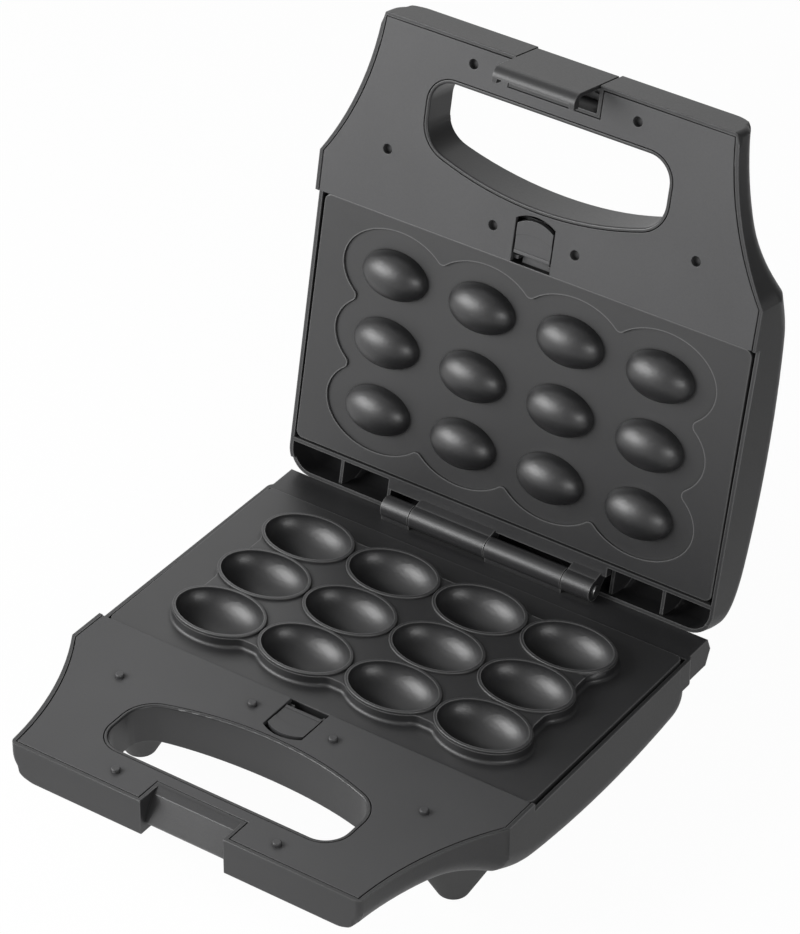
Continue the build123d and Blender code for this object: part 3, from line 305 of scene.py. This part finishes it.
def round_off(form, edges, width, segments):
    """Round the given edges of a mesh."""
    bmesh.ops.bevel(
        form, geom=edges, offset=width, offset_type="OFFSET", segments=segments, profile=0.5,
        affect="EDGES", clamp_overlap=False, material=-1,
    )


def cut_back(form, way):
    """Cut back the flat side of a mesh that looks a given way, for the seam in front of it."""
    reach = max(vert.co.dot(way) for vert in form.verts)
    for vert in form.verts:
        if reach - vert.co.dot(way) < SEAM_CUT / 4:
            vert.co -= way * SEAM_CUT


def refined(node, name, material, soften=0.0, where=lambda edge: True, corners=None, seam=None):
    """Piece that stands for a CAD node: its facets joined, its edges softened, its curves smooth.

    The edges that pass the test "where" are softened by a width, those that pass "corners" get the
    radius of an upright corner, and the side that looks to the "seam" is cut back.
    """
    source = frame["nodes"][node]
    form = bmesh.new()
    form.from_mesh(source.data)
    bmesh.ops.remove_doubles(form, verts=form.verts, dist=WELD)
    bmesh.ops.dissolve_limit(
        form, angle_limit=math.radians(FLAT_ANGLE), use_dissolve_boundaries=False,
        verts=form.verts, edges=form.edges,
    )
    if seam:
        cut_back(form, seam)
    if corners:
        round_off(form, outer_edges(form, 0, corners), CORNER_RADIUS, CORNER_SEGMENTS)
    if soften:
        round_off(form, outer_edges(form, soften, where), soften, EDGE_SEGMENTS)
    for face in form.faces:
        face.smooth = True
    mesh = bpy.data.meshes.new(name)
    form.to_mesh(mesh)
    form.free()
    mesh.set_sharp_from_angle(angle=math.radians(CREASE))
    mesh.materials.append(material)
    piece = bpy.data.objects.new(name, mesh)
    bpy.context.scene.collection.objects.link(piece)
    evened = piece.modifiers.new("even_shading", "WEIGHTED_NORMAL")
    evened.keep_sharp = True
    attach(piece, source["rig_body"])
    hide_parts(node)


class HousingSettings(bpy.types.PropertyGroup):
    """Colours and finish of the plastic."""

    dark: bpy.props.StringProperty(name="Darker tone", description="sRGB hex value", default="#1D1D1E")
    light: bpy.props.StringProperty(name="Lighter tone", description="sRGB hex value", default="#272728")
    roughness: bpy.props.FloatProperty(
        name="Roughness", description="How matt the casings are",
        default=0.42, min=0.1, max=1.0, subtype="FACTOR",
    )
    panel_dark: bpy.props.StringProperty(
        name="Darker panel tone", description="sRGB hex value", default="#363637"
    )
    panel_light: bpy.props.StringProperty(
        name="Lighter panel tone", description="sRGB hex value", default="#404041"
    )
    panel_roughness: bpy.props.FloatProperty(
        name="Panel roughness", description="How matt the panels are",
        default=0.5, min=0.1, max=1.0, subtype="FACTOR",
    )
    # Lighter colour painted along the outer edges as a highlight
    edge_highlight: bpy.props.StringProperty(name="Painted edge highlights", description="sRGB hex value", default="#585858")


class PlateSettings(bpy.types.PropertyGroup):
    """Colours and finish of the baking plates."""

    dark: bpy.props.StringProperty(name="Darker tone", description="sRGB hex value", default="#1A1A1B")
    light: bpy.props.StringProperty(name="Lighter tone", description="sRGB hex value", default="#242425")
    # Lighter colour painted along the outer edges as a highlight
    edge_highlight: bpy.props.StringProperty(name="Painted edge highlights", description="sRGB hex value", default="#707070")
    roughness: bpy.props.FloatProperty(
        name="Roughness", description="How matt the coat is",
        default=0.43, min=0.1, max=1.0, subtype="FACTOR",
    )


class StageSettings(bpy.types.PropertyGroup):
    """Floor, lamps and camera."""

    floor: bpy.props.StringProperty(name="Floor", description="sRGB hex value", default="#F4F4F4")
    key: bpy.props.FloatProperty(
        name="Key lamp", description="Power of the lamp at the front left", default=15.5, unit="POWER"
    )
    rear: bpy.props.FloatProperty(
        name="Rear lamp", description="Power of the lamp behind the maker", default=1.6, unit="POWER"
    )
    fill: bpy.props.FloatProperty(
        name="Fill lamp", description="Power of the lamp at the front right", default=7.0, unit="POWER"
    )
    ambient: bpy.props.FloatProperty(
        name="Ambient light", description="Strength of the light from all around", default=0.1, min=0.0
    )
    left_wall: bpy.props.FloatProperty(
        name="Left wall", description="How bright the studio's left side shows in gloss",
        default=0.8, min=0.0,
    )
    right_wall: bpy.props.FloatProperty(
        name="Right wall", description="How bright the studio's right side shows in gloss",
        default=0.12, min=0.0,
    )
    left_card: bpy.props.FloatProperty(
        name="Left floor", description="How bright the floor's left side shows in gloss",
        default=1.0, min=0.0,
    )
    right_card: bpy.props.FloatProperty(
        name="Right floor", description="How bright the floor's right side shows in gloss",
        default=0.03, min=0.0,
    )
    lens: bpy.props.FloatProperty(
        name="Lens", description="Focal length of the camera", default=174.39, subtype="DISTANCE_CAMERA"
    )


def handle_tests(half):
    """Tests for the edges on the handle of a casing, and for the upright ones at its front corners."""
    low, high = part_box(f"{half}_handle_cover")
    tip = low[1] if half == "base" else high[2]
    axis = 1 if half == "base" else 2

    def on_handle(edge):
        return all(abs(vert.co[axis] - tip) < HANDLE_LENGTH for vert in edge.verts)

    def upright_corner(edge):
        ends = edge.verts
        rise = abs(ends[0].co[3 - axis] - ends[1].co[3 - axis])
        return rise > CORNER_RADIUS / 4 and all(
            abs(vert.co[axis] - tip) < HANDLE_TIP and abs(vert.co[0]) > HANDLE_CORNER_X for vert in ends
        )

    return on_handle, upright_corner


def rim_test(half):
    """Test for the edges on the outline of a baking plate."""
    low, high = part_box(f"{half}_plate")
    axes = (0, 1 if half == "base" else 2)

    def on_rim(edge):
        return all(
            min(min(vert.co[axis] - low[axis], high[axis] - vert.co[axis]) for axis in axes) < RIM_REACH
            for vert in edge.verts
        )

    return on_rim


class SNACK_OT_casings(bpy.types.Operator):
    """Finish both casings, their handle panels, catches and the latch"""

    bl_idname = "snack.casings"
    bl_label = "Casings"

    def execute(self, context):
        look = context.scene.snack_housing
        plastic = moulded_plastic(
            "black_moulded_abs", look.dark, look.light, look.roughness, look.edge_highlight
        )
        # Greyer and more matt than the casings, with no painted edge highlights, so that the seams stay
        # dark
        panel = moulded_plastic(
            "sparked_black_abs", look.panel_dark, look.panel_light, look.panel_roughness
        )
        for half in HALVES:
            on_handle, upright_corner = handle_tests(half)
            refined(
                f"{half}_shell", f"{half}_casing", plastic,
                soften=EDGE_RADIUS, where=on_handle, corners=upright_corner,
            )
            refined(
                f"{half}_handle_cover", f"{half}_handle_panel", panel,
                soften=EDGE_RADIUS, seam=TO_PLATE[half],
            )
            refined(f"{half}_catch", f"{half}_plate_catch", panel, soften=CATCH_EDGE_RADIUS)
        refined("latch", "closing_latch", plastic, soften=EDGE_RADIUS)
        return {"FINISHED"}


class SNACK_OT_plates(bpy.types.Operator):
    """Finish both baking plates"""

    bl_idname = "snack.plates"
    bl_label = "Baking plates"

    def execute(self, context):
        look = context.scene.snack_plates
        coat = coated_casting(
            "coated_cast_aluminium", look.dark, look.light, look.roughness, look.edge_highlight
        )
        for half in HALVES:
            refined(
                f"{half}_plate", f"{half}_baking_plate", coat,
                soften=PLATE_EDGE_RADIUS, where=rim_test(half), seam=-TO_PLATE[half],
            )
        return {"FINISHED"}


class SNACK_OT_feet(bpy.types.Operator):
    """Finish the feet and the cord gland"""

    bl_idname = "snack.feet"
    bl_label = "Feet and cord gland"

    def execute(self, context):
        rubber = moulded_rubber("moulded_black_rubber", "#2E2E2E", "#3A3A3A")
        for row in ("front", "rear"):
            for hand in ("left", "right"):
                refined(f"foot_{row}_{hand}", f"rubber_foot_{row}_{hand}", rubber)
        refined("cord_gland", "rubber_cord_gland", rubber)
        return {"FINISHED"}


class SNACK_OT_metalwork(bpy.types.Operator):
    """Finish pins, springs, screws, heaters, brackets and heat trays"""

    bl_idname = "snack.metalwork"
    bl_label = "Metalwork"

    def execute(self, context):
        # Ground pins are bright, zinc is paler and softer, trays are pale, sheaths brown from the heat
        pin = drawn_steel("ground_steel_pin", "#8E8E8E", "#A8A8A8", 0.32)
        zinc = drawn_steel("zinc_plated_steel", "#9A9B9C", "#B4B6B8", 0.38)
        sheet = drawn_steel("aluminised_sheet", "#A6A6A4", "#C0C0BE", 0.42)
        sheath = drawn_steel("heat_tinted_sheath", "#5A514B", "#756B64", 0.5)
        for node in ("hinge_pin", "latch_pin"):
            dress(node, pin)
        dress("thermal_fuse", zinc)
        for half in HALVES:
            dress(f"{half}_catch_spring", zinc)
            dress(f"{half}_heat_tray", sheet)
            dress(f"{half}_heater", sheath)
            for hand in ("left", "right"):
                dress(f"{half}_heater_bracket_{hand}", sheet)
            for number in (1, 2, 3, 4):
                dress(f"{half}_cover_screw_{number}", zinc)
                dress(f"{half}_tray_screw_{number}", zinc)
        return {"FINISHED"}


class SNACK_OT_electrics(bpy.types.Operator):
    """Finish the thermostat, terminal block, lamp holder and lenses"""

    bl_idname = "snack.electrics"
    bl_label = "Electrics"

    def execute(self, context):
        # Glazed ceramic is pale and smooth, the heat-proof moulding pale and matt
        ceramic = moulded_plastic("glazed_steatite", "#D8D4C8", "#E6E2D6", 0.3)
        insulator = moulded_plastic("heat_proof_moulding", "#C4C1B8", "#D6D3CA", 0.5)
        dress("thermostat", ceramic)
        dress("terminal_block", insulator)
        dress("lid_lamp_holder", insulator)
        red = clear_lens("red_lens", "#8E120C", "#B01A12")
        refined("lid_lamp_lens_left", "lamp_lens_left", red)
        green = clear_lens("green_lens", "#0E5A1C", "#157A2A")
        refined("lid_lamp_lens_right", "lamp_lens_right", green)
        return {"FINISHED"}


def softbox(name, direction, distance, size, power):
    """Rectangular lamp that looks at the maker from a direction."""
    data = bpy.data.lights.new(name, "AREA")
    data.shape = "RECTANGLE"
    data.size, data.size_y = size
    data.energy = power
    lamp = bpy.data.objects.new(name, data)
    bpy.context.scene.collection.objects.link(lamp)
    way = Vector(direction).normalized()
    lamp.location = Vector(LAMP_TARGET) + way * distance
    lamp.rotation_mode = "QUATERNION"
    lamp.rotation_quaternion = way.to_track_quat("Z", "Y")


def mirrored_rays(tree, rays):
    """1 for what a glossy or a clear surface sees."""
    return add_node(
        tree, "ShaderNodeMath",
        {0: rays.outputs["Is Glossy Ray"], 1: rays.outputs["Is Transmission Ray"]},
        operation="MAXIMUM",
    )


def lay_floor(look):
    """White floor that keeps the shadow and fades from left to right where gloss mirrors it."""
    form = bmesh.new()
    bmesh.ops.create_grid(form, x_segments=1, y_segments=1, size=FLOOR_HALF_WIDTH)
    mesh = bpy.data.meshes.new("floor")
    form.to_mesh(mesh)
    form.free()
    floor = bpy.data.objects.new("floor", mesh)
    bpy.context.scene.collection.objects.link(floor)
    white = linear(look.floor)
    material, tree, surface = new_material("pale_floor", Base_Color=white, Roughness=0.9)
    place = add_node(tree, "ShaderNodeTexCoord").outputs["Object"]
    drift = add_node(tree, "ShaderNodeTexNoise", {"Vector": place}, Scale=2.0, Detail=1.0)
    ramp = add_node(tree, "ShaderNodeValToRGB", {"Fac": drift.outputs["Fac"]})
    ramp.color_ramp.elements[0].color = linear("#EFEFEF")
    ramp.color_ramp.elements[1].color = white
    tree.links.new(ramp.outputs["Color"], surface.inputs["Base Color"])
    mesh.materials.append(material)

    # The camera sees the floor nearly white without more light on the maker
    rays = add_node(tree, "ShaderNodeLightPath")
    glow = add_node(tree, "ShaderNodeEmission", Color=linear(WHITE), Strength=1.0)
    across = add_node(tree, "ShaderNodeSeparateXYZ", {0: place})
    fade = add_node(
        tree, "ShaderNodeMapRange", {"Value": across.outputs["X"]},
        From_Min=FLOOR_FADE[0], From_Max=FLOOR_FADE[1], To_Min=look.left_card, To_Max=look.right_card,
    )
    mirrored = add_node(
        tree, "ShaderNodeMath", {0: mirrored_rays(tree, rays).outputs[0], 1: fade.outputs[0]},
        operation="MULTIPLY",
    )
    direct = add_node(tree, "ShaderNodeMath", {0: rays.outputs["Is Camera Ray"]}, operation="MULTIPLY")
    direct.inputs[1].default_value = FLOOR_GLOW
    share = add_node(
        tree, "ShaderNodeMath", {0: direct.outputs[0], 1: mirrored.outputs[0]}, operation="MAXIMUM"
    )
    mix = add_node(
        tree, "ShaderNodeMixShader",
        {0: share.outputs[0], 1: surface.outputs["BSDF"], 2: glow.outputs["Emission"]},
    )
    output = next(node for node in tree.nodes if node.type == "OUTPUT_MATERIAL")
    tree.links.new(mix.outputs["Shader"], output.inputs["Surface"])


def light_world(look):
    """World that is dim as a light, white to the camera and fades from left to right in gloss."""
    world = bpy.data.worlds.new("studio")
    bpy.context.scene.world = world
    world.use_nodes = True
    sky = world.node_tree
    sky.nodes.clear()
    rays = add_node(sky, "ShaderNodeLightPath")
    heading = add_node(sky, "ShaderNodeTexCoord").outputs["Generated"]
    across = add_node(sky, "ShaderNodeSeparateXYZ", {0: heading})
    fade = add_node(
        sky, "ShaderNodeMapRange", {"Value": across.outputs["X"]},
        From_Min=WORLD_FADE[0], From_Max=WORLD_FADE[1], To_Min=look.left_wall, To_Max=look.right_wall,
    )
    dim = add_node(sky, "ShaderNodeBackground", Color=linear(WHITE), Strength=look.ambient)
    walls = add_node(
        sky, "ShaderNodeBackground", {"Strength": fade.outputs["Result"]}, Color=linear(WHITE)
    )
    full = add_node(sky, "ShaderNodeBackground", Color=linear(WHITE), Strength=1.0)
    shiny = add_node(
        sky, "ShaderNodeMixShader",
        {0: mirrored_rays(sky, rays).outputs[0], 1: dim.outputs[0], 2: walls.outputs[0]},
    )
    pick = add_node(
        sky, "ShaderNodeMixShader",
        {0: rays.outputs["Is Camera Ray"], 1: shiny.outputs[0], 2: full.outputs[0]},
    )
    end = add_node(sky, "ShaderNodeOutputWorld")
    sky.links.new(pick.outputs[0], end.inputs["Surface"])


def place_camera(look):
    """Camera that sees the maker as the photograph does."""
    data = bpy.data.cameras.new("camera")
    data.sensor_width = 36.0
    data.lens = look.lens
    data.clip_start, data.clip_end = 0.05, 30.0
    camera = bpy.data.objects.new("camera", data)
    bpy.context.scene.collection.objects.link(camera)
    camera.location = CAMERA_PLACE
    camera.rotation_euler = Euler((math.radians(90 - CAMERA_DOWN), 0, math.radians(CAMERA_TURN)))
    bpy.context.scene.camera = camera


class SNACK_OT_stage(bpy.types.Operator):
    """Set up the floor, the world, the lamps and the camera"""

    bl_idname = "snack.stage"
    bl_label = "Stage"

    def execute(self, context):
        look = context.scene.snack_stage
        lay_floor(look)
        light_world(look)
        for name, (direction, distance, size) in LAMPS.items():
            softbox(name, direction, distance, size, getattr(look, name))
        place_camera(look)
        context.scene.view_settings.view_transform = "Standard"
        return {"FINISHED"}


class SNACK_PT_sidebar(bpy.types.Panel):
    """Steps that dress the snack maker, in order"""

    bl_idname = "SNACK_PT_sidebar"
    bl_label = "Snack maker"
    bl_space_type = "VIEW_3D"
    bl_region_type = "UI"
    bl_category = "Snack maker"

    def draw(self, context):
        for name in SETTINGS:
            settings = getattr(context.scene, name)
            box = self.layout.box()
            for key in settings.__annotations__:
                box.prop(settings, key)
        for step in STEPS:
            self.layout.operator(step.bl_idname)


STEPS = (
    SNACK_OT_casings,
    SNACK_OT_plates,
    SNACK_OT_feet,
    SNACK_OT_metalwork,
    SNACK_OT_electrics,
    SNACK_OT_stage,
)
SETTINGS = {
    "snack_housing": HousingSettings,
    "snack_plates": PlateSettings,
    "snack_stage": StageSettings,
}


def register():
    for group in SETTINGS.values():
        bpy.utils.register_class(group)
    for step in STEPS:
        bpy.utils.register_class(step)
    bpy.utils.register_class(SNACK_PT_sidebar)
    for name, group in SETTINGS.items():
        setattr(bpy.types.Scene, name, bpy.props.PointerProperty(type=group))


def unregister():
    for name in SETTINGS:
        delattr(bpy.types.Scene, name)
    bpy.utils.unregister_class(SNACK_PT_sidebar)
    for step in reversed(STEPS):
        bpy.utils.unregister_class(step)
    for group in reversed(list(SETTINGS.values())):
        bpy.utils.unregister_class(group)


def main():
    register()
    for step in STEPS:
        area, name = step.bl_idname.split(".")
        getattr(getattr(bpy.ops, area), name)()


if __name__ == "__main__":
    main()
